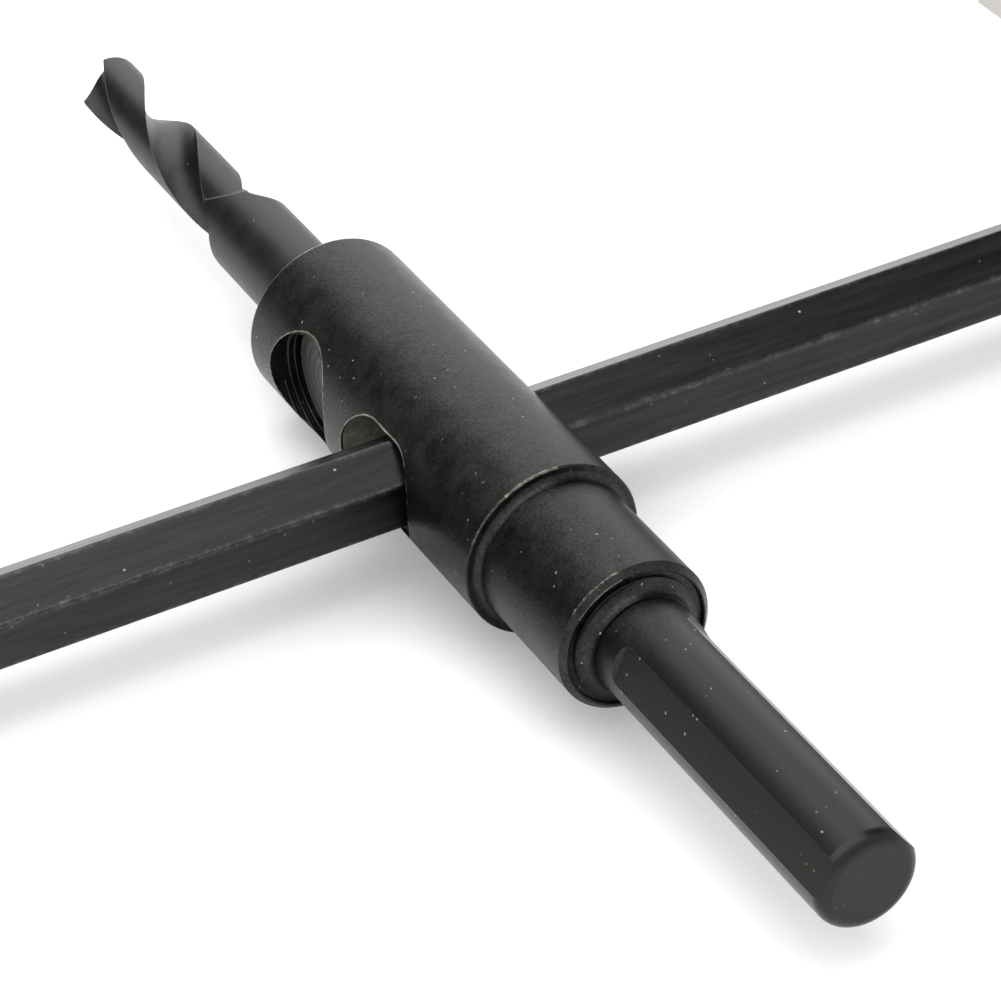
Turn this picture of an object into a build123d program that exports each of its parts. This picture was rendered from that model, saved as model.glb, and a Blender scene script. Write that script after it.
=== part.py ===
# Adjustable circle cutter: a turned arbor that carries a pilot drill on its axis and a
# hexagonal bar across it, with a round holder and a carbide-tipped cutter near each bar end.
# Millimetres. X runs along the bar, Y along the arbor towards the drill point, Z is up.
# The tool lies on its two holders. The origin is on that surface, midway along the arbor.
import math
import os

from build123d import *

os.makedirs("parts", exist_ok=True)

# Arbor, turned from one bar
body_d = 20.4
body_len = 51.6
bar_to_front = 32.0
collar_d = 17.4
collar_len = 17.3
shank_d = 11.1
shank_len = 43.0
front_chamfer = 0.35
rear_chamfer = 0.15
shoulder_fillet = 0.8
collar_chamfer = 0.65
ring_width = 0.7
ring_depth = 0.4
ring_round = 0.15
cove_r = 1.3
root_step = 0.25
shank_round = 1.4

# Three flats on the shank, evenly spaced
flat_count = 3
flat_depth = 0.46
flat_setback = 3.9
flat_runout_r = 1.6
first_flat_deg = 36.0

# Slot for the bar, long enough for the bar to stand off its rear end until it is clamped
slot_h = 11.4
slot_len = 15.8
slot_end_to_front = 38.6

# Hexagonal bar
bar_af = 9.2
bar_len = 260.0
bar_edge_r = 0.4
bar_end_chamfer = 0.8

# Pilot drill
drill_d = 10.35
drill_stickout = 64.3
plain_len = 22.1
full_len = 3.7
ramp_deg = 26.5
land_relief = 1.25
margin_deg = 7.0
margin_root_deg = 2.0
drill_web = 1.75
flute_r = 3.45
heel_open_deg = 66.0
heel_land_deg = 51.0
flute_lead = 56.0
flute_phase_deg = 43.0
runout_slope = 2.0
point_deg = 118.0
drill_tail_chamfer = 0.5

# Screws: one size grips the bar, the drill and both holders, a smaller one grips the cutters
clamp_d = 8.0
clamp_af = 4.0
small_d = 6.0
small_af = 3.0
socket_share = 0.55
socket_point_share = 0.25
screw_chamfer = 0.6
bar_screw_len = 8.2
drill_screw_len = 3.9
holder_screw_len = 8.0
cutter_screw_len = 5.7

# Thrust plug opposite the drill's clamp screw
plug_d = 13.4
plug_face_depth = 3.7
plug_len = 3.9
plug_dimple_r = 0.45
plug_chamfer = 0.3
cross_hole_from_front = 12.0

# Cutter holders
bar_beyond_cutter = 21.0
holder_d = 22.0
holder_rear = 14.0
holder_front = 34.0
holder_chamfer = 0.8
holder_bar_bore_d = 10.6
holder_floor = 2.4
cutter_screw_from_bar = 16.5
cutter_screw_spacing = 10.5

# Cutters
cutter_d = 10.0
cutter_out = 36.0
blade_t = 3.4
blade_neck = 8.0
blade_taper = 5.0
cutter_flat_depth = 0.7
end_clearance_deg = 7.0
tip_len = 10.0
tip_thick = 2.4
tip_width = 4.0
tip_lead = 0.5
tip_back_clearance = 0.35

# Fits: gaps measured on the radius, or face to face
shaft_fit = 0.04
thread_fit = 0.04
face_gap = 0.02
drill_end_gap = 1.4
bore_end_gap = 0.3

# How far a cutting shape runs past the face it opens
past = 1.0

# Worked out from the sizes above
body_r = body_d / 2
collar_r = collar_d / 2
shank_r = shank_d / 2
drill_r = drill_d / 2
cutter_r = cutter_d / 2
slot_r = slot_h / 2
bar_half = bar_af / 2
bar_side = bar_af / math.sqrt(3)
overall_len = drill_stickout + body_len + collar_len + shank_len
tip_y = overall_len / 2
front_y = tip_y - drill_stickout
body_rear_y = front_y - body_len
collar_rear_y = body_rear_y - collar_len
shank_end_y = collar_rear_y - shank_len
bar_y = front_y - bar_to_front
axis_z = holder_d / 2
cutter_reach = bar_len / 2 - bar_beyond_cutter
cross_y = front_y - cross_hole_from_front
slot_rear_y = front_y - slot_end_to_front
slot_front_y = slot_rear_y + slot_len
bar_screw_tip_y = bar_y + bar_half + face_gap
bar_screw_head_y = bar_screw_tip_y + bar_screw_len
drill_tail_y = bar_screw_head_y + drill_end_gap
bore_floor_y = drill_tail_y - bore_end_gap
land_start_y = front_y + plain_len
flute_place = drill_web / 2 + flute_r
cutter_screw_places = (cutter_screw_from_bar, cutter_screw_from_bar + cutter_screw_spacing)


def save(shape, name):
    shape.label = name
    export_step(shape, f"parts/{name}.step")


def rod(start, end, radius):
    """Round bar between two points."""
    run = Vector(*end) - Vector(*start)
    return extrude(Plane(origin=start, z_dir=run) * Circle(radius), run.length)


def turned(*outline):
    """Solid of revolution about the arbor's axis from (radius, y) points."""
    points = [(radius, y) for radius, y in outline]
    profile = make_face(Polyline(*points, close=True))
    return Pos(0, 0, axis_z) * revolve(profile, Axis.Y)


def socket_screw(diameter, length, across_flats, tip, outward):
    """Headless screw with a hexagon socket, from its tip point outwards."""
    radius = diameter / 2
    frame = Plane(origin=tip, z_dir=outward)
    blank = Pos(0, 0, length / 2) * Cylinder(radius, length)
    blank = chamfer(blank.edges().filter_by(GeomType.CIRCLE), screw_chamfer)
    depth = length * socket_share
    key = extrude(Pos(0, 0, length) * RegularPolygon(across_flats / 2, 6, major_radius=False), -depth)
    key_end = Pos(0, 0, length - depth) * Cone(0, across_flats / 2, across_flats * socket_point_share,
                                               align=(Align.CENTER, Align.CENTER, Align.MAX))
    return frame * (blank - key - key_end)


def cove(shape, radius_in, y, radius):
    """Concave fillet left by the turning tool between a shaft and a shoulder facing -Y."""
    ring = turned((radius_in, y), (radius_in + radius, y), (radius_in, y - radius))
    tool = Torus(radius_in + radius, radius, rotation=(90, 0, 0))
    return shape + (ring - Pos(0, y - radius, axis_z) * tool)


def arbor_body():
    step_r = shank_r + root_step
    ring_r = step_r + cove_r
    outline = [
        (0, shank_end_y),
        (shank_r, shank_end_y),
        (shank_r, collar_rear_y - cove_r),
        (step_r, collar_rear_y - cove_r),
        (step_r, collar_rear_y),
        (ring_r, collar_rear_y),
        (ring_r, collar_rear_y + ring_depth),
        (ring_r + ring_width, collar_rear_y + ring_depth),
        (ring_r + ring_width, collar_rear_y),
        (collar_r - collar_chamfer, collar_rear_y),
        (collar_r, collar_rear_y + collar_chamfer),
        (collar_r, body_rear_y),
        (body_r - rear_chamfer, body_rear_y),
        (body_r, body_rear_y + rear_chamfer),
        (body_r, front_y - front_chamfer),
        (body_r - front_chamfer, front_y),
        (0, front_y),
    ]
    blank = turned(*outline)
    end_edge = blank.edges().filter_by(GeomType.CIRCLE).sort_by(Axis.Y)[0]
    blank = fillet(end_edge, shank_round)
    ring_edges = [edge for edge in blank.edges().filter_by(GeomType.CIRCLE).group_by(Axis.Y)
                  if abs(edge[0].center().Y - collar_rear_y) < ring_depth / 2]
    blank = fillet(ring_edges[0].filter_by(lambda e: ring_r <= e.radius < collar_r - collar_chamfer), ring_round)
    blank = cove(blank, step_r, collar_rear_y, cove_r)
    blank = cove(blank, collar_r, body_rear_y, shoulder_fillet)
    for index in range(flat_count):
        blank -= shank_flat(first_flat_deg + index * 360 / flat_count)
    blank -= bar_slot()
    blank -= rod((0, bore_floor_y, axis_z), (0, front_y + past, axis_z), drill_r + shaft_fit)
    blank -= rod((0, bar_y, axis_z), (0, bore_floor_y + past, axis_z), clamp_d / 2 + thread_fit)
    blank -= rod((-body_r, cross_y, axis_z), (0, cross_y, axis_z), plug_d / 2 + thread_fit)
    blank -= rod((0, cross_y, axis_z), (body_r, cross_y, axis_z), clamp_d / 2 + thread_fit)
    return blank


def shank_flat(angle):
    """Cutter path of one shank flat, with the round run-out at its inner end."""
    flat_y = collar_rear_y - flat_setback
    length = flat_y - shank_end_y + past
    height = flat_depth + flat_runout_r
    block = Pos(shank_r - flat_depth + height / 2, flat_y - length / 2, 0) * Box(height, length, shank_d)
    inner = block.edges().filter_by(Axis.Z).group_by(Axis.Y)[-1].sort_by(Axis.X)[0]
    return Pos(0, 0, axis_z) * Rot(0, -angle, 0) * fillet(inner, flat_runout_r)


def bar_slot():
    middle_y = (slot_rear_y + slot_front_y) / 2
    plane = Plane(origin=(-body_d, middle_y, axis_z), x_dir=(0, 1, 0), z_dir=(1, 0, 0))
    return extrude(plane * SlotOverall(slot_len, slot_h), 2 * body_d)


def hex_bar():
    plane = Plane(origin=(-bar_len / 2, bar_y, axis_z), x_dir=(0, 1, 0), z_dir=(1, 0, 0))
    bar = extrude(plane * RegularPolygon(bar_half, 6, major_radius=False, rotation=30), bar_len)
    bar = fillet(bar.edges().filter_by(Axis.X), bar_edge_r)
    cone_len = bar_len / 2 + bar_side - bar_end_chamfer
    ends = [Cone(cone_len, 0, cone_len, rotation=(0, turn, 0),
                 align=(Align.CENTER, Align.CENTER, Align.MIN)) for turn in (90, -90)]
    return bar & (Pos(0, bar_y, axis_z) * (ends[0] + ends[1]))


def polar(radius, angle_deg):
    """Point of a cross-section, given by its radius and its angle."""
    return radius * math.cos(math.radians(angle_deg)), radius * math.sin(math.radians(angle_deg))


def land_section():
    """Relieved land all round, with a full-size margin at the leading edge of each flute."""
    land = Circle(drill_r - land_relief)
    overlap = (drill_r**2 + flute_place**2 - flute_r**2) / (2 * drill_r * flute_place)
    flute_half_deg = math.degrees(math.acos(overlap))
    for side in (0, 180):
        wedge = [(0, 0)]
        for share in (0, 0.5, 1):
            swept_deg = margin_root_deg - share * (margin_deg + margin_root_deg)
            wedge.append(polar(drill_r + past, side - flute_half_deg + swept_deg))
        land += Circle(drill_r) & make_face(Polyline(*wedge, close=True))
    return land


def flute_form():
    """Cross-section of one flute: a round groove opened out straight on its heel side."""
    inner = Vector(*polar(drill_r - land_relief, heel_land_deg))
    outer = Vector(*polar(drill_r, heel_open_deg))
    outer += outer - inner
    beside = polar(drill_r + 2 * past, heel_open_deg / 2)
    heel = make_face(Polyline((flute_place, 0), inner, outer, beside, close=True))
    return Pos(flute_place, 0) * Circle(flute_r) + heel


def twisted(section, start, end):
    """Section with both flutes cut from it, carried along the drill with their twist."""
    for side_deg in (0, 180):
        section -= Rot(0, 0, side_deg) * flute_form()
    turn_deg = 360 / flute_lead
    face = (Rot(0, 0, start * turn_deg - flute_phase_deg) * section).faces()[0]
    rise = (0, 0, end - start)
    return Pos(0, 0, start) * Solid.extrude_linear_with_rotation(face, (0, 0, 0), rise, (end - start) * turn_deg)


def relief_ramp(side_deg):
    """Metal ground away down a slanting plane, from the full size to the relieved land."""
    slope = math.radians(ramp_deg)
    reach = 2 * drill_r
    plane = Plane(origin=(0, -drill_r, 0), x_dir=(1, 0, 0), z_dir=(0, -math.cos(slope), math.sin(slope)))
    block = extrude(plane * Rectangle(2 * reach, 2 * reach), drill_r)
    return Rot(0, 0, side_deg) * (block - Cylinder(drill_r - land_relief, 4 * reach))


def pilot_drill():
    """Drill with a plain end, from which a ramp leads down to each relieved land."""
    fluted_len = tip_y - land_start_y
    drill = twisted(Circle(drill_r), 0, full_len) - relief_ramp(0) - relief_ramp(180)
    drill += twisted(land_section(), full_len, fluted_len)
    point_h = drill_r / math.tan(math.radians(point_deg / 2))
    envelope = Pos(0, 0, fluted_len - point_h) * Cone(drill_r, 0, point_h,
                                                      align=(Align.CENTER, Align.CENTER, Align.MIN))
    envelope += Cylinder(drill_r, fluted_len - point_h, align=(Align.CENTER, Align.CENTER, Align.MIN))
    tail = rod((0, drill_tail_y, axis_z), (0, land_start_y, axis_z), drill_r)
    tail = chamfer(tail.edges().filter_by(GeomType.CIRCLE).sort_by(Axis.Y)[0], drill_tail_chamfer)
    frame = Plane(origin=(0, land_start_y, axis_z), x_dir=(1, 0, 0), z_dir=(0, 1, 0))
    for side_deg in (0, 180):
        tail -= frame * flute_runout(side_deg)
    return tail + frame * (drill & envelope)


def flute_runout(side_deg):
    """Path by which the flute cutter leaves the drill, slanting outwards from the flute's start."""
    start_deg = side_deg - flute_phase_deg
    drift = flute_place * math.radians(360 / flute_lead)
    slant = Vector(runout_slope, -drift, -1).rotate(Axis.Z, start_deg)
    mouth = Rot(0, 0, start_deg) * flute_form()
    return extrude(mouth, 2 * flute_r / runout_slope * slant.length, dir=slant)


def thrust_plug():
    """Plain screwed plug whose inner end is bored away to seat the drill."""
    face_x = -body_r + plug_face_depth
    plug = rod((face_x + plug_len, cross_y, axis_z), (face_x, cross_y, axis_z), plug_d / 2)
    rim = plug.edges().filter_by(GeomType.CIRCLE).sort_by(Axis.X)[0]
    plug = chamfer(rim, plug_chamfer)
    plug -= Pos(face_x, cross_y, axis_z) * Sphere(plug_dimple_r)
    return plug - rod((0, cross_y - plug_d, axis_z), (0, cross_y + plug_d, axis_z),
                      drill_r + shaft_fit)


def holder():
    """Cutter holder about its own centre: bar bore along X, cutter bore along Y."""
    radius = holder_d / 2
    blank = rod((0, -holder_rear, 0), (0, holder_front, 0), radius)
    blank = chamfer(blank.edges().filter_by(GeomType.CIRCLE), holder_chamfer)
    blank -= rod((-radius, 0, 0), (radius, 0, 0), holder_bar_bore_d / 2)
    blank -= rod((0, cutter_floor_y(), 0), (0, holder_front, 0), cutter_r + shaft_fit)
    blank -= rod((0, -holder_rear, 0), (0, 0, 0), clamp_d / 2 + thread_fit)
    for place in cutter_screw_places:
        blank -= rod((-radius, place, 0), (0, place, 0), small_d / 2 + thread_fit)
    return blank


def cutter_floor_y():
    return holder_bar_bore_d / 2 + holder_floor


def cutter():
    """Cutter with a flatted round shank, a thin blade and a seat for its tip."""
    back_y = cutter_floor_y() + bore_end_gap
    end_y = holder_front + cutter_out
    neck_y = holder_front + blade_neck
    half = blade_t / 2
    plan = Polyline((-cutter_r, back_y), (cutter_r, back_y), (cutter_r, neck_y),
                    (half, neck_y + blade_taper), (half, end_y), (-half, end_y),
                    (-half, neck_y + blade_taper), (-cutter_r, neck_y), close=True)
    shape = rod((0, back_y, 0), (0, end_y, 0), cutter_r)
    shape &= extrude(Pos(0, 0, -cutter_r) * make_face(plan), cutter_d)
    shape -= Pos(-cutter_r, (back_y + end_y) / 2, 0) * Box(2 * cutter_flat_depth, end_y - back_y, cutter_d)
    seat_y = end_y - tip_len
    shape -= Pos(0, seat_y + cutter_out / 2, -tip_thick + cutter_d / 2) * Box(
        cutter_d, cutter_out, cutter_d)
    relief = Pos(0, end_y, -tip_thick) * Rot(end_clearance_deg, 0, 0) * Pos(0, cutter_d / 2, 0) * Box(
        cutter_d, cutter_d, 2 * cutter_d)
    return shape - relief


def carbide_tip():
    """Brazed tip whose rake face lies on the level of the arbor's axis."""
    end_y = holder_front + cutter_out
    front_half = tip_width / 2
    back_half = front_half - tip_back_clearance
    plan = Polyline((-back_half, end_y - tip_len), (back_half, end_y - tip_len),
                    (front_half, end_y + tip_lead), (-front_half, end_y + tip_lead), close=True)
    block = extrude(Pos(0, 0, -tip_thick) * make_face(plan), tip_thick)
    relief = Pos(0, end_y + tip_lead, 0) * Rot(end_clearance_deg, 0, 0) * Pos(
        0, cutter_d / 2, 0) * Box(cutter_d, cutter_d, 2 * cutter_d)
    return block - relief


def cutter_screw(place):
    tip_x = -cutter_r + cutter_flat_depth - face_gap
    return socket_screw(small_d, cutter_screw_len, small_af, (tip_x, place, 0), (-1, 0, 0))


def holder_screw():
    return socket_screw(clamp_d, holder_screw_len, clamp_af, (0, -bar_half - face_gap, 0), (0, -1, 0))


save(arbor_body(), "arbor_body")
save(hex_bar(), "hex_bar")
save(pilot_drill(), "pilot_drill")
save(thrust_plug(), "thrust_plug")
save(socket_screw(clamp_d, bar_screw_len, clamp_af, (0, bar_screw_tip_y, axis_z), (0, 1, 0)),
     "bar_clamp_screw")
save(socket_screw(clamp_d, drill_screw_len, clamp_af, (drill_r + face_gap, cross_y, axis_z), (1, 0, 0)),
     "drill_clamp_screw")

# The two holders are the same parts, one turned half a turn about Y, so both cutters face their cut
for side, place_x, turn in (("left", -cutter_reach, 0), ("right", cutter_reach, 180)):
    place = Location((place_x, bar_y, axis_z), (0, turn, 0))
    save(place * holder(), f"{side}_holder")
    save(place * holder_screw(), f"{side}_holder_screw")
    save(place * cutter(), f"{side}_cutter")
    save(place * carbide_tip(), f"{side}_carbide_tip")
    for name, screw_y in zip(("rear", "front"), cutter_screw_places):
        save(place * cutter_screw(screw_y), f"{side}_{name}_cutter_screw")
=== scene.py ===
import math

import bpy
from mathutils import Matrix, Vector


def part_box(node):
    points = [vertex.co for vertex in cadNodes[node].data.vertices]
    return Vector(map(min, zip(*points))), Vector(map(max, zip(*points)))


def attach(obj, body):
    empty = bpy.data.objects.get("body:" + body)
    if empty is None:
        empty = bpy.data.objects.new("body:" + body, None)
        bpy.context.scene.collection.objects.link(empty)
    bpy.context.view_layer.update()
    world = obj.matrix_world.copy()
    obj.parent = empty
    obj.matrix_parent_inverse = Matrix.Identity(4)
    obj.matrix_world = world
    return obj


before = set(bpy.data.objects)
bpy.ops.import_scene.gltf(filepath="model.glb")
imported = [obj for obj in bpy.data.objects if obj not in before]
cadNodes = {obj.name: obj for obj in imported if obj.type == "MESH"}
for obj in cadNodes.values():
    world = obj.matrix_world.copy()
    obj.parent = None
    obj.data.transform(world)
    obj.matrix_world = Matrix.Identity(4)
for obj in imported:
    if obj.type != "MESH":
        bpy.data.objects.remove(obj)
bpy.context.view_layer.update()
mm = 0.001
axisHeight = 11.0           # the arbor's axis above the floor, mm
noiseSpan = (0.3, 0.7)      # most of a noise texture's values lie between these
print("frame loaded:", len(cadNodes), "CAD nodes")


# An sRGB hex colour as linear values.
def linear(hexColour):
    parts = [int(hexColour[i:i + 2], 16) / 255 for i in (1, 3, 5)]
    return [p / 12.92 if p <= 0.04045 else ((p + 0.055) / 1.055) ** 2.4 for p in parts] + [1.0]


# Pattern scale for features of a real size, given in mm.
def perMetre(size):
    return 1000 / size


# Scale of a wave texture whose bands lie this many mm apart. Its phase is 20 times the place.
def waveScale(spacing):
    return 2 * math.pi / (20 * spacing * mm)


# Adds one node to a material or geometry tree. Inputs take a plain value or another node's socket.
def put(tree, kind, inputs=None, **settings):
    made = tree.nodes.new(kind)
    for name, value in settings.items():
        setattr(made, name, value)
    for key, value in (inputs or {}).items():
        if isinstance(value, bpy.types.NodeSocket):
            tree.links.new(value, made.inputs[key])
        else:
            made.inputs[key].default_value = value
    return made


def emptyMaterial(name):
    material = bpy.data.materials.new(name)
    material.use_nodes = True
    material.node_tree.nodes.clear()
    return material, material.node_tree


def dress(material, *names):
    for name in names:
        mesh = cadNodes[name].data
        mesh.materials.clear()
        mesh.materials.append(material)


# Camera, from the fitted perspective of the photograph
camera = {
    "place": (-147.15, -308.57, 248.66),   # mm
    "turn": (53.880, 2.458, -28.523),      # degrees about X, Y, Z
    "lens": 137.63,
    "sensor": 36.0,
    "sees": (0.01, 50),                    # from and to, m
}

camData = bpy.data.cameras.new("photoCamera")
camData.lens = camera["lens"]
camData.sensor_width = camera["sensor"]
camData.clip_start, camData.clip_end = camera["sees"]
cam = bpy.data.objects.new("photoCamera", camData)
cam.location = Vector(camera["place"]) * mm
cam.rotation_euler = [math.radians(a) for a in camera["turn"]]
bpy.context.scene.collection.objects.link(cam)
bpy.context.scene.camera = cam
print("camera set")

# Blackened steel: what all its surfaces share
oxide = {
    "contrast": (0.36, 0.64),   # the stretch of the noise that goes from dark to light
    "edgeRays": 8,
    "knockCore": 0.9,           # share of a knock's reach inside which it has its full strength
    "speckRagged": 0.35,        # mm, how far the grain pulls a speck's outline about
    "rustShare": 0.6,           # of the specks, the others are pale dust
}


# The shank is smoother towards its end: the mean shade, little grain and more gloss.
def polishedEnd(tree, place, shade, rough, look):
    polished = look["polished"]
    along = put(tree, "ShaderNodeSeparateXYZ", {0: place})
    coarse = put(tree, "ShaderNodeMapRange", {"Value": along.outputs["Y"],
                                              "From Min": polished["upTo"] * mm,
                                              "From Max": polished["goneAt"] * mm}).outputs[0]
    shade = put(tree, "ShaderNodeMix", {"Factor": coarse, "A": polished["shade"], "B": shade})
    rough = put(tree, "ShaderNodeMix", {"Factor": coarse, "A": polished["rough"], "B": rough})
    relief = put(tree, "ShaderNodeMapRange", {"Value": coarse, "To Max": look["bump"],
                                              "To Min": polished["bumpShare"] * look["bump"]})
    return shade.outputs["Result"], rough.outputs["Result"], relief.outputs[0]


# Bare metal on the edges: inside a convex edge a short ray soon leaves the metal. Noise breaks the line
# up, and a knock rubs an edge barer within its reach, or spares it where its strength is negative. On the
# hex bar the band is wider and is partly bare metal, partly a painted highlight along its rounded edges.
def bareAndSheenEdges(tree, place, look):
    edge = put(tree, "ShaderNodeAmbientOcclusion", {"Distance": look["wearAndSheenWidth"] * mm}, inside=True,
               only_local=True, samples=oxide["edgeRays"])
    patchy = put(tree, "ShaderNodeTexNoise", {"Vector": place, "Scale": perMetre(look["wearAndSheenPatch"]),
                                           "Detail": 5.0, "Roughness": 0.7})
    sharp = put(tree, "ShaderNodeMath", {0: 1.0, 1: edge.outputs["AO"]}, operation="SUBTRACT")
    wornAndSheen = put(tree, "ShaderNodeMath", {0: patchy.outputs["Fac"], 1: look["wearAndSheen"], 2: sharp.outputs[0]},
               operation="MULTIPLY_ADD")
    for centre, reach, strength in look["knocks"]:
        away = put(tree, "ShaderNodeVectorMath", {0: place, 1: [c * mm for c in centre]},
                   operation="DISTANCE")
        near = put(tree, "ShaderNodeMapRange", {"Value": away.outputs["Value"], "From Min": reach * mm,
                                                "From Max": oxide["knockCore"] * reach * mm,
                                                "To Max": strength})
        wornAndSheen = put(tree, "ShaderNodeMath", {0: near.outputs[0], 1: sharp.outputs[0], 2: wornAndSheen.outputs[0]},
                   operation="MULTIPLY_ADD")
    return put(tree, "ShaderNodeMapRange", {"Value": wornAndSheen.outputs[0], "From Min": look["wearAndSheenFrom"],
                                            "From Max": look["wearAndSheenFull"]},
               interpolation_type="SMOOTHSTEP").outputs[0]


# Specks: a ragged dot in some of the cells, rust or pale dust, neither of them metal.
def specked(tree, place, grain, colour, look):
    ragged = put(tree, "ShaderNodeVectorMath", {0: grain, 1: (oxide["speckRagged"] * mm,) * 3, 2: place},
                 operation="MULTIPLY_ADD")
    cells = put(tree, "ShaderNodeTexVoronoi", {"Vector": ragged.outputs[0],
                                               "Scale": perMetre(look["speckSpacing"])})
    chance = put(tree, "ShaderNodeSeparateColor", {0: cells.outputs["Color"]})
    dot = put(tree, "ShaderNodeMath", {0: cells.outputs["Distance"],
                                       1: look["speck"] / look["speckSpacing"]}, operation="LESS_THAN")
    some = put(tree, "ShaderNodeMath", {0: chance.outputs[0], 1: 1 - look["speckShare"]},
               operation="GREATER_THAN")
    speck = put(tree, "ShaderNodeMath", {0: dot.outputs[0], 1: some.outputs[0]}, operation="MULTIPLY")
    pale = put(tree, "ShaderNodeMath", {0: chance.outputs[1], 1: oxide["rustShare"]},
               operation="GREATER_THAN")
    speckColour = put(tree, "ShaderNodeMix", {"Factor": pale.outputs[0], "A": linear(look["rust"]),
                                              "B": linear(look["dust"])}, data_type="RGBA")
    colour = put(tree, "ShaderNodeMix", {"Factor": speck.outputs[0], "A": colour,
                                         "B": speckColour.outputs["Result"]}, data_type="RGBA")
    metal = put(tree, "ShaderNodeMath", {0: 1.0, 1: speck.outputs[0]}, operation="SUBTRACT")
    return colour.outputs["Result"], metal.outputs[0]


# Walls of the cross slot: a lighter, duller grey with less metal than the rest of the body.
def lighterSlotWalls(tree, place, shade, colour, metal, lighterSlot):
    inside = 1.0
    for axes, middle, reach in lighterSlot["within"]:
        flat = put(tree, "ShaderNodeMapping", {"Vector": place, "Scale": axes,
                                               "Location": [-m * mm for m in middle]})
        away = put(tree, "ShaderNodeVectorMath", {0: flat.outputs[0]}, operation="LENGTH")
        near = put(tree, "ShaderNodeMath", {0: away.outputs["Value"], 1: reach * mm},
                   operation="LESS_THAN")
        inside = put(tree, "ShaderNodeMath", {0: near.outputs[0], 1: inside},
                     operation="MULTIPLY").outputs[0]
    dull = put(tree, "ShaderNodeMix", {"Factor": shade, "A": linear(lighterSlot["dark"]),
                                       "B": linear(lighterSlot["light"])}, data_type="RGBA")
    duller = put(tree, "ShaderNodeMix", {"Factor": inside, "A": colour, "B": dull.outputs["Result"]},
                 data_type="RGBA")
    less = put(tree, "ShaderNodeMath", {0: inside, 1: -lighterSlot["matt"], 2: metal},
               operation="MULTIPLY_ADD")
    return duller.outputs["Result"], less.outputs[0]


# A clamp screw's turns, in relief only, because the screws sit in their holes.
def threadRelief(tree, place, normal, thread):
    turns = put(tree, "ShaderNodeTexWave", {"Vector": place, "Scale": waveScale(thread["pitch"])},
                bands_direction=thread["axis"])
    return put(tree, "ShaderNodeBump", {"Height": turns.outputs["Fac"], "Normal": normal,
                                        "Distance": thread["depth"] * mm}).outputs[0]


# Black oxide on machined steel: a thin matt-black skin that mirrors 2 to 5 % straight on and far more
# at a glance, with fine grain from the bath, rusty and pale specks, and bare metal on the edges, which on
# the hex bar is partly a painted highlight.
def oxidisedSteel(name, look):
    material, tree = emptyMaterial(name)
    place = put(tree, "ShaderNodeTexCoord").outputs["Object"]
    fine = put(tree, "ShaderNodeMapping", {"Vector": place,
                                           "Scale": [perMetre(s) for s in look["grain"]]})
    grain = put(tree, "ShaderNodeTexNoise", {"Vector": fine.outputs[0], "Scale": 1.0, "Detail": 3.0,
                                             "Roughness": 0.6})
    broad = put(tree, "ShaderNodeMapping", {"Vector": place,
                                            "Scale": [perMetre(s) for s in look["cloud"]]})
    cloud = put(tree, "ShaderNodeTexNoise", {"Vector": broad.outputs[0], "Scale": 1.0, "Detail": 4.0,
                                             "Roughness": 0.55})
    mottle = put(tree, "ShaderNodeMix", {"Factor": look["grainShare"], "A": cloud.outputs["Fac"],
                                         "B": grain.outputs["Fac"]})
    shade = put(tree, "ShaderNodeMapRange", {"Value": mottle.outputs["Result"],
                                             "From Min": oxide["contrast"][0],
                                             "From Max": oxide["contrast"][1]}).outputs[0]
    rough = put(tree, "ShaderNodeMapRange", {"Value": cloud.outputs["Fac"],
                                             "From Min": noiseSpan[0], "From Max": noiseSpan[1],
                                             "To Min": look["rough"] - look["roughSpread"],
                                             "To Max": look["rough"] + look["roughSpread"]}).outputs[0]
    relief = look["bump"]
    if "polished" in look:
        shade, rough, relief = polishedEnd(tree, place, shade, rough, look)

    blackened = put(tree, "ShaderNodeMix", {"Factor": shade, "A": linear(look["dark"]),
                                            "B": linear(look["light"])}, data_type="RGBA")
    # Lighter edges: bare metal, and on the hex bar partly a painted highlight as well.
    wornAndSheen = put(tree, "ShaderNodeMix", {"Factor": bareAndSheenEdges(tree, place, look),
                                       "A": blackened.outputs["Result"], "B": linear(look["bareAndSheen"])},
               data_type="RGBA")
    colour, metal = specked(tree, place, grain.outputs["Color"], wornAndSheen.outputs["Result"], look)
    # Inside the cross slot the walls get a lighter, duller grey with less metal.
    if "lighterSlot" in look:
        colour, metal = lighterSlotWalls(tree, place, shade, colour, metal, look["lighterSlot"])

    normal = put(tree, "ShaderNodeBump", {"Height": grain.outputs["Fac"], "Strength": relief,
                                          "Distance": look["bumpHeight"] * mm}).outputs[0]
    if "thread" in look:
        normal = threadRelief(tree, place, normal, look["thread"])
    shader = put(tree, "ShaderNodeBsdfPrincipled", {"Base Color": colour, "Metallic": metal,
                                                    "Roughness": rough, "Normal": normal})
    put(tree, "ShaderNodeOutputMaterial", {"Surface": shader.outputs[0]})
    return material


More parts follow.
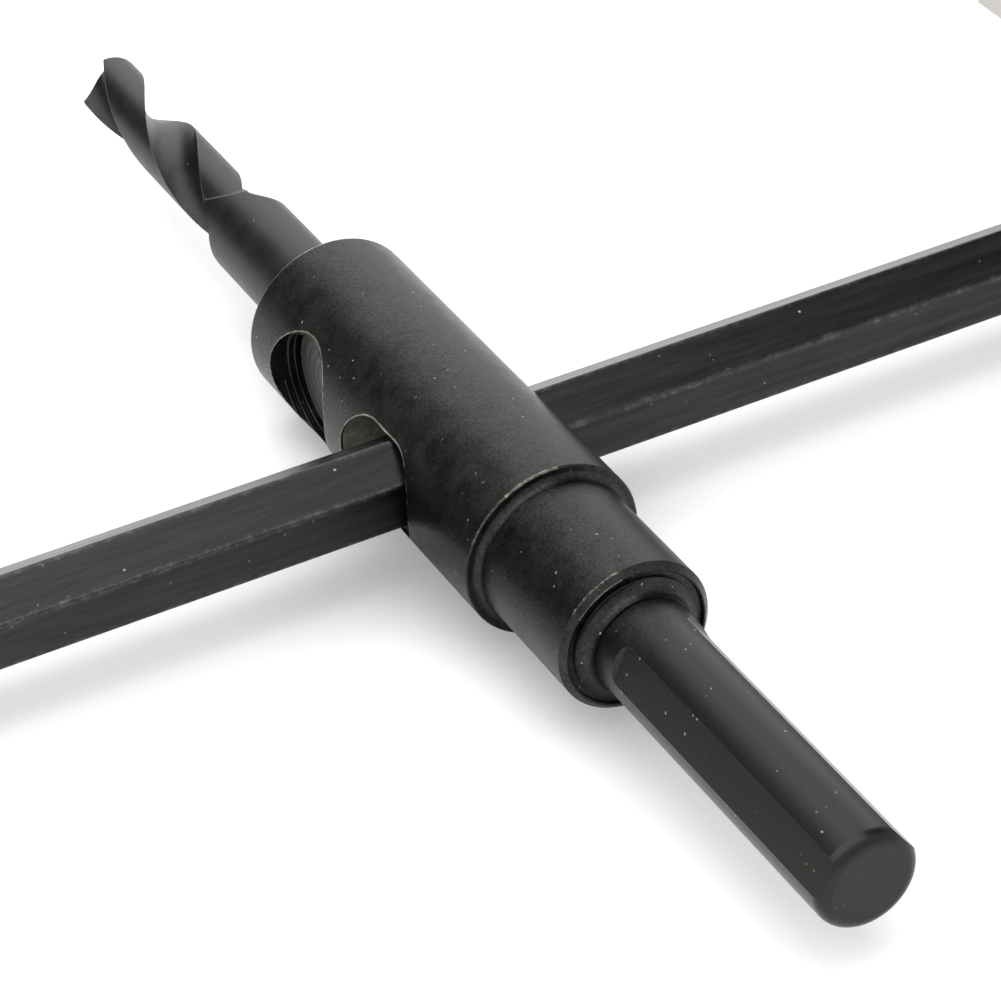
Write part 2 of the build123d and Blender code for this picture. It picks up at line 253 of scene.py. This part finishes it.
# Sizes and places in mm. A knock is its centre, its reach and its strength. The slot's walls are lighter
# inside the body's skin and along the slot's length: the axes that count there, the middle and the reach.
arborLook = {
    "dark": "#252524", "light": "#3c3c3a", "cloud": (2.5, 2.5, 2.5),
    "grain": (0.35, 0.35, 0.35), "grainShare": 0.6, "bump": 0.9, "bumpHeight": 0.04,
    "rough": 0.39, "roughSpread": 0.05,
    "polished": {"upTo": -56.0, "goneAt": -45.0, "shade": 0.5, "rough": 0.32, "bumpShare": 0.2},
    "wearAndSheenWidth": 0.25, "wearAndSheenPatch": 0.6, "wearAndSheen": 0.9, "wearAndSheenFrom": 0.78, "wearAndSheenFull": 1.05,
    "bareAndSheen": "#b0aba3",
    "knocks": (
        ((-2.2, -27.8, 21.0), 3.4, 2.2),        # top of the body's rear rim
        ((-7.5, -27.8, 18.0), 3.4, 1.0),
        ((-4.6, -45.1, 18.4), 3.4, 2.0),        # top of the collar's rear rim
        ((0.0, -45.1, 11.0), 8.3, -3.0),        # the groove round the shank's foot, spared
        ((-8.5, -13.5, 11.0), 5.0, -1.2),       # rear side of the slot's mouth, spared
        ((0.0, 23.8, 11.0), 10.9, 5.0),         # front rim
        ((0.0, 23.8, 11.0), 8.0, -5.0),         # rim of the drill's bore, spared
    ),
    "speck": 0.13, "speckSpacing": 0.9, "speckShare": 0.16, "rust": "#4f3a32", "dust": "#726f68",
}
slotLook = {
    "within": (((1, 0, 1), (0, 0, axisHeight), 9.95), ((0, 1, 0), (0, -6.9, 0), 8.1)),
    "dark": "#605f5b", "light": "#96948e", "matt": 0.9,
}
# The hex bar's wide light edge band is partly bare metal and partly a painted highlight of its rounded
# edges.
barLook = {
    "dark": "#2b2b2b", "light": "#383838", "cloud": (16.0, 0.9, 0.9),
    "grain": (4.0, 0.25, 0.25), "grainShare": 0.35, "bump": 0.6, "bumpHeight": 0.03,
    "rough": 0.34, "roughSpread": 0.05,
    "wearAndSheenWidth": 0.75, "wearAndSheenPatch": 1.2, "wearAndSheen": 0.5, "wearAndSheenFrom": 0.34, "wearAndSheenFull": 0.66,
    "bareAndSheen": "#85827c", "knocks": (),
    "speck": 0.14, "speckSpacing": 1.1, "speckShare": 0.14, "rust": "#4f3a32", "dust": "#8b8882",
}
drillLook = {
    "dark": "#343433", "light": "#3e3e3c", "cloud": (3.0, 3.0, 3.0),
    "grain": (0.45, 0.45, 0.45), "grainShare": 0.4, "bump": 0.3, "bumpHeight": 0.02,
    "rough": 0.42, "roughSpread": 0.04,
    "wearAndSheenWidth": 0.2, "wearAndSheenPatch": 2.0, "wearAndSheen": 0.8, "wearAndSheenFrom": 0.72, "wearAndSheenFull": 1.1,
    "bareAndSheen": "#6c6a66", "knocks": (),
    "speck": 0.13, "speckSpacing": 1.3, "speckShare": 0.12, "rust": "#4f3a32", "dust": "#726f68",
}
arborBlack = oxidisedSteel("blackOxideTurnedSteel", {**arborLook, "lighterSlot": slotLook})
dress(arborBlack, "arbor_body", "left_holder", "right_holder")
dress(oxidisedSteel("blackOxideDrawnBar", barLook), "hex_bar")
dress(oxidisedSteel("steamOxidisedDrillSteel", drillLook), "pilot_drill")

# Clamp screws: the same oxide over a rolled thread, whose turns run round the screw's own axis.
screwThread = {"pitch": 0.8, "depth": 0.3}      # mm
screwsByAxis = {
    "X": ["drill_clamp_screw"] + [side + place for side in ("left", "right")
                                  for place in ("_rear_cutter_screw", "_front_cutter_screw")],
    "Y": ["bar_clamp_screw", "left_holder_screw", "right_holder_screw"],
}
for axis, screws in screwsByAxis.items():
    screwLook = {**drillLook, "thread": {"axis": axis, **screwThread}}
    dress(oxidisedSteel("blackOxideScrewAlong" + axis, screwLook), *screws)
print("blackened steel done")

plugBox = [Vector(corner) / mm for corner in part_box("thrust_plug")]
plug = {
    "centre": (plugBox[0] + plugBox[1]) / 2,
    "radius": (plugBox[1].y - plugBox[0].y) / 2,
    "dark": "#2f2f2d", "light": "#51514e", "metallic": 0.15, "rough": 0.5,
    "ringPitch": 1.1,           # mm, the facing tool's feed marks, drawn coarser than they are
    "ringWobble": 0.6, "ringShare": 0.4,
    "mottle": 0.8,              # mm
    "bump": 0.6, "bumpHeight": 0.05,
}


# Faced steel end under a thin oxide: rings left by the tool catch the light as fine circles.
def facedSteel(name, look):
    material, tree = emptyMaterial(name)
    place = put(tree, "ShaderNodeTexCoord").outputs["Object"]
    centred = put(tree, "ShaderNodeMapping", {"Vector": place, "Location": look["centre"] * -mm})
    rings = put(tree, "ShaderNodeTexWave", {"Vector": centred.outputs[0], "Distortion": look["ringWobble"],
                                            "Detail": 1.0, "Detail Scale": 0.5,
                                            "Scale": waveScale(look["ringPitch"])},
                wave_type="RINGS", rings_direction="X")
    mottle = put(tree, "ShaderNodeTexNoise", {"Vector": place, "Scale": perMetre(look["mottle"]),
                                              "Detail": 4.0})
    shade = put(tree, "ShaderNodeMix", {"Factor": look["ringShare"], "A": mottle.outputs["Fac"],
                                        "B": rings.outputs["Fac"]})
    colour = put(tree, "ShaderNodeMix", {"Factor": shade.outputs["Result"], "A": linear(look["dark"]),
                                         "B": linear(look["light"])}, data_type="RGBA")
    bump = put(tree, "ShaderNodeBump", {"Height": rings.outputs["Fac"], "Strength": look["bump"],
                                        "Distance": look["bumpHeight"] * mm})
    shader = put(tree, "ShaderNodeBsdfPrincipled", {"Base Color": colour.outputs["Result"],
                                                    "Metallic": look["metallic"],
                                                    "Roughness": look["rough"],
                                                    "Normal": bump.outputs[0]})
    put(tree, "ShaderNodeOutputMaterial", {"Surface": shader.outputs[0]})
    return material


dress(facedSteel("facedPlugEnd", plug), "thrust_plug")
print("plug done")


# Ground tool steel: bright and smooth, with fine lines across it from the grinding wheel.
# Carbide is the same in a darker, warmer grey and is lapped smoother.
def groundMetal(name, look):
    material, tree = emptyMaterial(name)
    place = put(tree, "ShaderNodeTexCoord").outputs["Object"]
    lines = put(tree, "ShaderNodeMapping", {"Vector": place,
                                            "Scale": [perMetre(s) for s in look["lines"]]})
    grind = put(tree, "ShaderNodeTexNoise", {"Vector": lines.outputs[0], "Scale": 1.0, "Detail": 2.0})
    cloud = put(tree, "ShaderNodeTexNoise", {"Vector": place, "Scale": perMetre(look["cloud"]),
                                             "Detail": 3.0})
    colour = put(tree, "ShaderNodeMix", {"Factor": cloud.outputs["Fac"], "A": linear(look["dark"]),
                                         "B": linear(look["light"])}, data_type="RGBA")
    rough = put(tree, "ShaderNodeMapRange", {"Value": grind.outputs["Fac"],
                                             "From Min": noiseSpan[0], "From Max": noiseSpan[1],
                                             "To Min": look["rough"] - look["roughSpread"],
                                             "To Max": look["rough"] + look["roughSpread"]})
    bump = put(tree, "ShaderNodeBump", {"Height": grind.outputs["Fac"], "Strength": look["bump"],
                                        "Distance": look["bumpHeight"] * mm})
    shader = put(tree, "ShaderNodeBsdfPrincipled", {"Base Color": colour.outputs["Result"],
                                                    "Metallic": 1.0, "Roughness": rough.outputs[0],
                                                    "Normal": bump.outputs[0]})
    put(tree, "ShaderNodeOutputMaterial", {"Surface": shader.outputs[0]})
    return material


cutterLook = {
    "dark": "#a3a19c", "light": "#bbb9b4", "cloud": 6.0, "lines": (8.0, 0.12, 0.12),
    "bump": 0.3, "bumpHeight": 0.01, "rough": 0.30, "roughSpread": 0.06,
}
carbideLook = {
    "dark": "#77736c", "light": "#88847c", "cloud": 2.0, "lines": (4.0, 0.1, 0.1),
    "bump": 0.2, "bumpHeight": 0.01, "rough": 0.26, "roughSpread": 0.04,
}
dress(groundMetal("groundToolSteel", cutterLook), "left_cutter", "right_cutter")
dress(groundMetal("lappedCarbide", carbideLook), "left_carbide_tip", "right_carbide_tip")
print("bright cutters done")


# Grown pieces: each tree takes its sizes as named inputs.
def growingTree(name, inputs):
    tree = bpy.data.node_groups.new(name, "GeometryNodeTree")
    tree.interface.new_socket("Path", in_out="INPUT", socket_type="NodeSocketGeometry")
    for label, kind in inputs.items():
        tree.interface.new_socket(label, in_out="INPUT", socket_type="NodeSocket" + kind)
    tree.interface.new_socket("Piece", in_out="OUTPUT", socket_type="NodeSocketGeometry")
    return tree, put(tree, "NodeGroupInput").outputs


def closeTree(tree, shape, material):
    real = put(tree, "GeometryNodeRealizeInstances", {"Geometry": shape})
    dressed = put(tree, "GeometryNodeSetMaterial", {"Geometry": real.outputs[0], "Material": material})
    put(tree, "NodeGroupOutput", {"Piece": dressed.outputs[0]})


# Runs a tree on a path of points, a closed or an open one, and keeps the plain mesh that it gives.
def grow(name, tree, values, body, points=(), closed=False):
    path = bpy.data.meshes.new(name + "Path")
    runs = [(i, i + 1) for i in range(len(points) - 1)] + ([(len(points) - 1, 0)] if closed else [])
    path.from_pydata([[c * mm for c in point] for point in points], runs, [])
    piece = bpy.data.objects.new(name, path)
    bpy.context.scene.collection.objects.link(piece)
    grower = piece.modifiers.new(name, "NODES")
    grower.node_group = tree
    for item in tree.interface.items_tree:
        if item.name in values:
            grower[item.identifier] = values[item.name]
    bpy.context.view_layer.update()
    grown = piece.evaluated_get(bpy.context.evaluated_depsgraph_get())
    shape = bpy.data.meshes.new_from_object(grown)
    piece.modifiers.clear()
    piece.data = shape
    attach(piece, body)


# Thread in the plug's hole, sizes in mm
thread = {
    "pitch": 0.8, "turns": 2.7, "ridge": 0.26,
    "skinGap": 0.03,            # how far inside the body's skin the thread ends
    "steps": 120, "ridgeSides": 4, "skinSides": 240,
}

# A helical ridge on the wall of a hole that lies along X, cut off where the body's round skin ends.
threadTree, given = growingTree("threadInHole", {
    "Hole Radius": "Float", "Pitch": "Float", "Turns": "Float", "Ridge": "Float", "Start": "Vector",
    "Skin Radius": "Float", "Material": "Material"})
rise = put(threadTree, "ShaderNodeMath", {0: given["Pitch"], 1: given["Turns"]}, operation="MULTIPLY")
helix = put(threadTree, "GeometryNodeCurveSpiral", {
    "Resolution": thread["steps"], "Rotations": given["Turns"], "Start Radius": given["Hole Radius"],
    "End Radius": given["Hole Radius"], "Height": rise.outputs[0]})
upright = put(threadTree, "GeometryNodeSetCurveNormal", {"Curve": helix.outputs[0]}, mode="Z_UP")
section = put(threadTree, "GeometryNodeCurvePrimitiveCircle", {"Resolution": thread["ridgeSides"],
                                                               "Radius": given["Ridge"]})
ridge = put(threadTree, "GeometryNodeCurveToMesh", {"Curve": upright.outputs[0], "Fill Caps": True,
                                                    "Profile Curve": section.outputs[0]})
ridge = put(threadTree, "GeometryNodeTransform", {"Geometry": ridge.outputs[0],
                                                  "Translation": given["Start"],
                                                  "Rotation": (0, math.radians(-90), 0)})
skin = put(threadTree, "GeometryNodeMeshCylinder", {"Vertices": thread["skinSides"],
                                                    "Radius": given["Skin Radius"],
                                                    "Depth": given["Skin Radius"]})
onAxis = put(threadTree, "ShaderNodeVectorMath", {0: given["Start"], 1: (0, 1, 1)}, operation="MULTIPLY")
skin = put(threadTree, "GeometryNodeTransform", {"Geometry": skin.outputs[0],
                                                 "Translation": onAxis.outputs[0],
                                                 "Rotation": (math.radians(90), 0, 0),
                                                 "Scale": (1, 1, 2)})      # longer than the hole is wide
trimmed = put(threadTree, "GeometryNodeMeshBoolean", {"Mesh 2": ridge.outputs[0]}, operation="INTERSECT",
              solver="EXACT")
threadTree.links.new(skin.outputs[0], trimmed.inputs["Mesh 2"])
closeTree(threadTree, trimmed.outputs[0], given["Material"])

arborHigh = Vector(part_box("arbor_body")[1]) / mm
threadLook = {**drillLook, "dark": "#2c2c2b", "light": "#3a3a39", "bareAndSheen": "#4c4b48"}
grow("plug_hole_thread", threadTree, {
    "Hole Radius": plug["radius"] * mm, "Pitch": thread["pitch"] * mm, "Turns": thread["turns"],
    "Ridge": thread["ridge"] * mm, "Skin Radius": (arborHigh.x - thread["skinGap"]) * mm,
    "Start": Vector((plugBox[0].x, plug["centre"].y, axisHeight)) * mm,
    "Material": oxidisedSteel("blackOxideCutThread", threadLook)}, "arbor")
print("thread done")

# A bead is thinnest where its noise is under the first value and at full thickness over the second.
bead = {"thinUnder": 0.53, "fullOver": 0.70, "sides": 8}

# A rough round cord of metal along a path, thick here and thin there, wandering a little.
beadTree, given = growingTree("roughBead", {
    "Radius": "Float", "Thinnest": "Float", "Patch": "Float", "Wander": "Float", "Step": "Float",
    "Material": "Material"})
line = put(beadTree, "GeometryNodeMeshToCurve", {"Mesh": given["Path"]})
line = put(beadTree, "GeometryNodeResampleCurve", {"Curve": line.outputs[0], "Length": given["Step"]},
           mode="LENGTH")
where = put(beadTree, "GeometryNodeInputPosition")
finer = put(beadTree, "ShaderNodeMath", {0: 1.0, 1: given["Patch"]}, operation="DIVIDE")
patch = put(beadTree, "ShaderNodeTexNoise", {"Vector": where.outputs[0], "Scale": finer.outputs[0],
                                             "Detail": 3.0})
swing = put(beadTree, "ShaderNodeVectorMath", {0: patch.outputs["Color"], 1: (0.5, 0.5, 0.5)},
            operation="SUBTRACT")      # noise is about a half, so this swings it about nought
swing = put(beadTree, "ShaderNodeVectorMath", {0: swing.outputs[0], "Scale": given["Wander"]},
            operation="SCALE")
line = put(beadTree, "GeometryNodeSetPosition", {"Geometry": line.outputs[0], "Offset": swing.outputs[0]})
thick = put(beadTree, "ShaderNodeMapRange", {"Value": patch.outputs["Fac"],
                                             "From Min": bead["thinUnder"], "From Max": bead["fullOver"],
                                             "To Min": given["Thinnest"], "To Max": 1.0})
section = put(beadTree, "GeometryNodeCurvePrimitiveCircle", {"Resolution": bead["sides"],
                                                             "Radius": given["Radius"]})
cord = put(beadTree, "GeometryNodeCurveToMesh", {"Curve": line.outputs[0], "Fill Caps": True,
                                                 "Profile Curve": section.outputs[0],
                                                 "Scale": thick.outputs[0]})
closeTree(beadTree, cord.outputs[0], given["Material"])


# The tree's sizes from a piece's settings.
def beadSizes(look, material):
    return {"Radius": look["thick"] * mm, "Thinnest": look["thinnest"], "Patch": look["patch"] * mm,
            "Wander": look["wander"] * mm, "Step": look["step"] * mm, "Material": material}


# Burr that the milling cutter left round both mouths of the cross slot, its crest rubbed bare.
burr = {
    "low": -14.8, "high": 1.0, "radius": 5.7,       # mm along Y, and of the rounded ends
    "thick": 0.08, "thinnest": 0.0, "patch": 1.3, "wander": 0.14, "step": 0.2, "points": 96,
}
burrLook = {**arborLook, "dark": "#4a4844", "light": "#7d7973", "rough": 0.45}
burrSizes = beadSizes(burr, oxidisedSteel("rubbedSteelBurr", burrLook))
middle = (burr["low"] + burr["high"]) / 2
straight = (burr["high"] - burr["low"]) / 2 - burr["radius"]
for side, out in (("left", -1), ("right", 1)):
    mouth = []
    for step in range(burr["points"]):
        turn = 2 * math.pi * (step + 0.5) / burr["points"]
        up = burr["radius"] * math.sin(turn)
        along = burr["radius"] * math.cos(turn) + math.copysign(straight, math.cos(turn))
        mouth.append((out * math.sqrt(arborHigh.x ** 2 - up ** 2), middle + along, axisHeight + up))
    grow(side + "_slot_burr", beadTree, burrSizes, "arbor", mouth, True)
print("slot burrs done")

# Silver solder that came out of the joint round each carbide tip: up one side, over the back and down.
solder = {
    "thick": 0.22, "thinnest": 0.7, "patch": 1.6, "wander": 0.1, "step": 0.3,      # mm
    "backHalf": 1.65, "frontHalf": 1.93, "frontGap": 1.2,
}
solderLook = {
    "dark": "#9c9588", "light": "#b5ac9a", "cloud": 1.0, "lines": (0.6, 0.6, 0.6),
    "bump": 0.5, "bumpHeight": 0.01, "rough": 0.42, "roughSpread": 0.08,
}
solderSizes = beadSizes(solder, groundMetal("silverSolder", solderLook))
for side in ("left", "right"):
    low, high = (Vector(corner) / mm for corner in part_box(side + "_carbide_tip"))
    centre = (low.x + high.x) / 2
    seat = low.z if side == "left" else high.z
    front = high.y - solder["frontGap"]
    back, wide = solder["backHalf"], solder["frontHalf"]
    seam = [(centre - wide, front, seat), (centre - back, low.y, seat),
            (centre - back, low.y, axisHeight), (centre + back, low.y, axisHeight),
            (centre + back, low.y, seat), (centre + wide, front, seat)]
    grow(side + "_tip_solder", beadTree, solderSizes, side + "_cutter", seam)
print("solder done")

# Studio: white table, white room, two softboxes and two grey cards that only metal sees
studio = {
    "floorSize": 8.0,           # m
    "floorColour": "#f4f4f3",
    # the table's colour is painted darker close under the object, a painted contact shadow
    "shadeReach": 22,           # mm, the table is shaded close under the object
    "shadeStarts": 0.62,        # at this share of open sky
    "shadeDarkest": 0.1,
    "shadeRays": 8,
    "floorGlow": 0.30,          # share of plain white in what the camera sees of the table
    "floorGleam": 0.10,         # and in what metal sees of it
    "roomLight": 1.2,           # what the room gives to matt surfaces
    "softboxes": {              # mm: place, aim, width, depth; brightness 1 is white
        "overLeft": ((-190, 20, 470), (-190, 20, 0), 700, 700, 1.5),
        "backRight": ((450, 860, 540), (0, 0, 20), 1050, 650, 1.5),
    },
    "cards": {                  # mm: place, aim, width, height; brightness 1 is white
        "backLeftCard": ((-520, 830, 440), (0, 0, 20), 1450, 1250, 0.10),
        "overRightCard": ((560, 60, 620), (40, 0, 0), 800, 880, 0.25),
    },
    "cardFade": 0.4,            # share of a card's half width over which it fades out
}
white = (1, 1, 1, 1)
black = (0, 0, 0, 1)


def faceTowards(thing, place, aim):
    thing.location = Vector(place) * mm
    thing.rotation_euler = (Vector(aim) - Vector(place)).to_track_quat("-Z", "Y").to_euler()


def flatCard(name, width, height, material):
    mesh = bpy.data.meshes.new(name)
    w, h = width / 2, height / 2
    mesh.from_pydata([(-w, -h, 0), (w, -h, 0), (w, h, 0), (-w, h, 0)], [], [(0, 1, 2, 3)])
    mesh.materials.append(material)
    made = bpy.data.objects.new(name, mesh)
    bpy.context.scene.collection.objects.link(made)
    return made


# Matt white table top, lifted towards plain white for the camera and for metal. Its colour is painted
# darker
# close under the object: a painted contact shadow.
def tableTop(name):
    material, tree = emptyMaterial(name)
    # Painted contact shadow: the colour goes darker where little open sky is near, close under the object.
    sky = put(tree, "ShaderNodeAmbientOcclusion", {"Distance": studio["shadeReach"] * mm},
              samples=studio["shadeRays"])
    clear = put(tree, "ShaderNodeMapRange", {"Value": sky.outputs["AO"],
                                             "From Max": studio["shadeStarts"],
                                             "To Min": studio["shadeDarkest"], "To Max": 1.0})
    paintedShadow = put(tree, "ShaderNodeMix", {"Factor": clear.outputs[0], "A": black,
                                         "B": linear(studio["floorColour"])}, data_type="RGBA")
    matt = put(tree, "ShaderNodeBsdfDiffuse", {"Color": paintedShadow.outputs["Result"]})
    glow = put(tree, "ShaderNodeEmission", {"Color": white, "Strength": 1.0})
    ray = put(tree, "ShaderNodeLightPath").outputs
    gleam = put(tree, "ShaderNodeMath", {0: ray["Is Glossy Ray"], 1: studio["floorGleam"]},
                operation="MULTIPLY")
    share = put(tree, "ShaderNodeMath", {0: ray["Is Camera Ray"], 1: studio["floorGlow"],
                                         2: gleam.outputs[0]}, operation="MULTIPLY_ADD")
    both = put(tree, "ShaderNodeMixShader", {0: share.outputs[0], 1: matt.outputs[0],
                                             2: glow.outputs[0]})
    put(tree, "ShaderNodeOutputMaterial", {"Surface": both.outputs[0]})
    return material


# Grey card that fades out towards its rim, so that metal shows no hard edge of it.
def fadingCard(name, width, height, bright):
    material, tree = emptyMaterial(name)
    place = put(tree, "ShaderNodeTexCoord").outputs["Object"]
    sized = put(tree, "ShaderNodeMapping", {"Vector": place, "Scale": (2 / width, 2 / height, 1)})
    middle = put(tree, "ShaderNodeTexGradient", {"Vector": sized.outputs[0]}, gradient_type="SPHERICAL")
    share = put(tree, "ShaderNodeMapRange", {"Value": middle.outputs["Fac"],
                                             "From Max": studio["cardFade"]},
                interpolation_type="SMOOTHSTEP")
    clear = put(tree, "ShaderNodeBsdfTransparent")
    grey = put(tree, "ShaderNodeEmission", {"Color": white, "Strength": bright})
    both = put(tree, "ShaderNodeMixShader", {0: share.outputs[0], 1: clear.outputs[0],
                                             2: grey.outputs[0]})
    put(tree, "ShaderNodeOutputMaterial", {"Surface": both.outputs[0]})
    return material


flatCard("table", studio["floorSize"], studio["floorSize"], tableTop("whiteTable"))
for name, (place, aim, width, height, bright) in studio["cards"].items():
    card = flatCard(name, width * mm, height * mm, fadingCard(name, width * mm, height * mm, bright))
    faceTowards(card, place, aim)
    card.visible_camera = card.visible_diffuse = card.visible_shadow = False

for name, (place, aim, width, depth, bright) in studio["softboxes"].items():
    lamp = bpy.data.lights.new(name, "AREA")
    lamp.shape = "RECTANGLE"
    lamp.size, lamp.size_y = width * mm, depth * mm
    lamp.energy = bright * math.pi * lamp.size * lamp.size_y
    box = bpy.data.objects.new(name, lamp)
    faceTowards(box, place, aim)
    box.visible_camera = False
    bpy.context.scene.collection.objects.link(box)

# White room: plain white to the camera, to metal and to glass, and its own level to matt surfaces.
world = bpy.data.worlds.new("whiteRoom")
world.use_nodes = True
tree = world.node_tree
tree.nodes.clear()
ray = put(tree, "ShaderNodeLightPath").outputs
metal = put(tree, "ShaderNodeMath", {0: ray["Is Camera Ray"], 1: ray["Is Glossy Ray"]},
            operation="MAXIMUM")
glass = put(tree, "ShaderNodeMath", {0: metal.outputs[0], 1: ray["Is Transmission Ray"]},
            operation="MAXIMUM")
level = put(tree, "ShaderNodeMapRange", {"Value": glass.outputs[0], "To Min": studio["roomLight"],
                                         "To Max": 1.0})
room = put(tree, "ShaderNodeBackground", {"Color": white, "Strength": level.outputs[0]})
put(tree, "ShaderNodeOutputWorld", {"Surface": room.outputs[0]})
bpy.context.scene.world = world
bpy.context.scene.view_settings.view_transform = "Standard"
print("studio done")
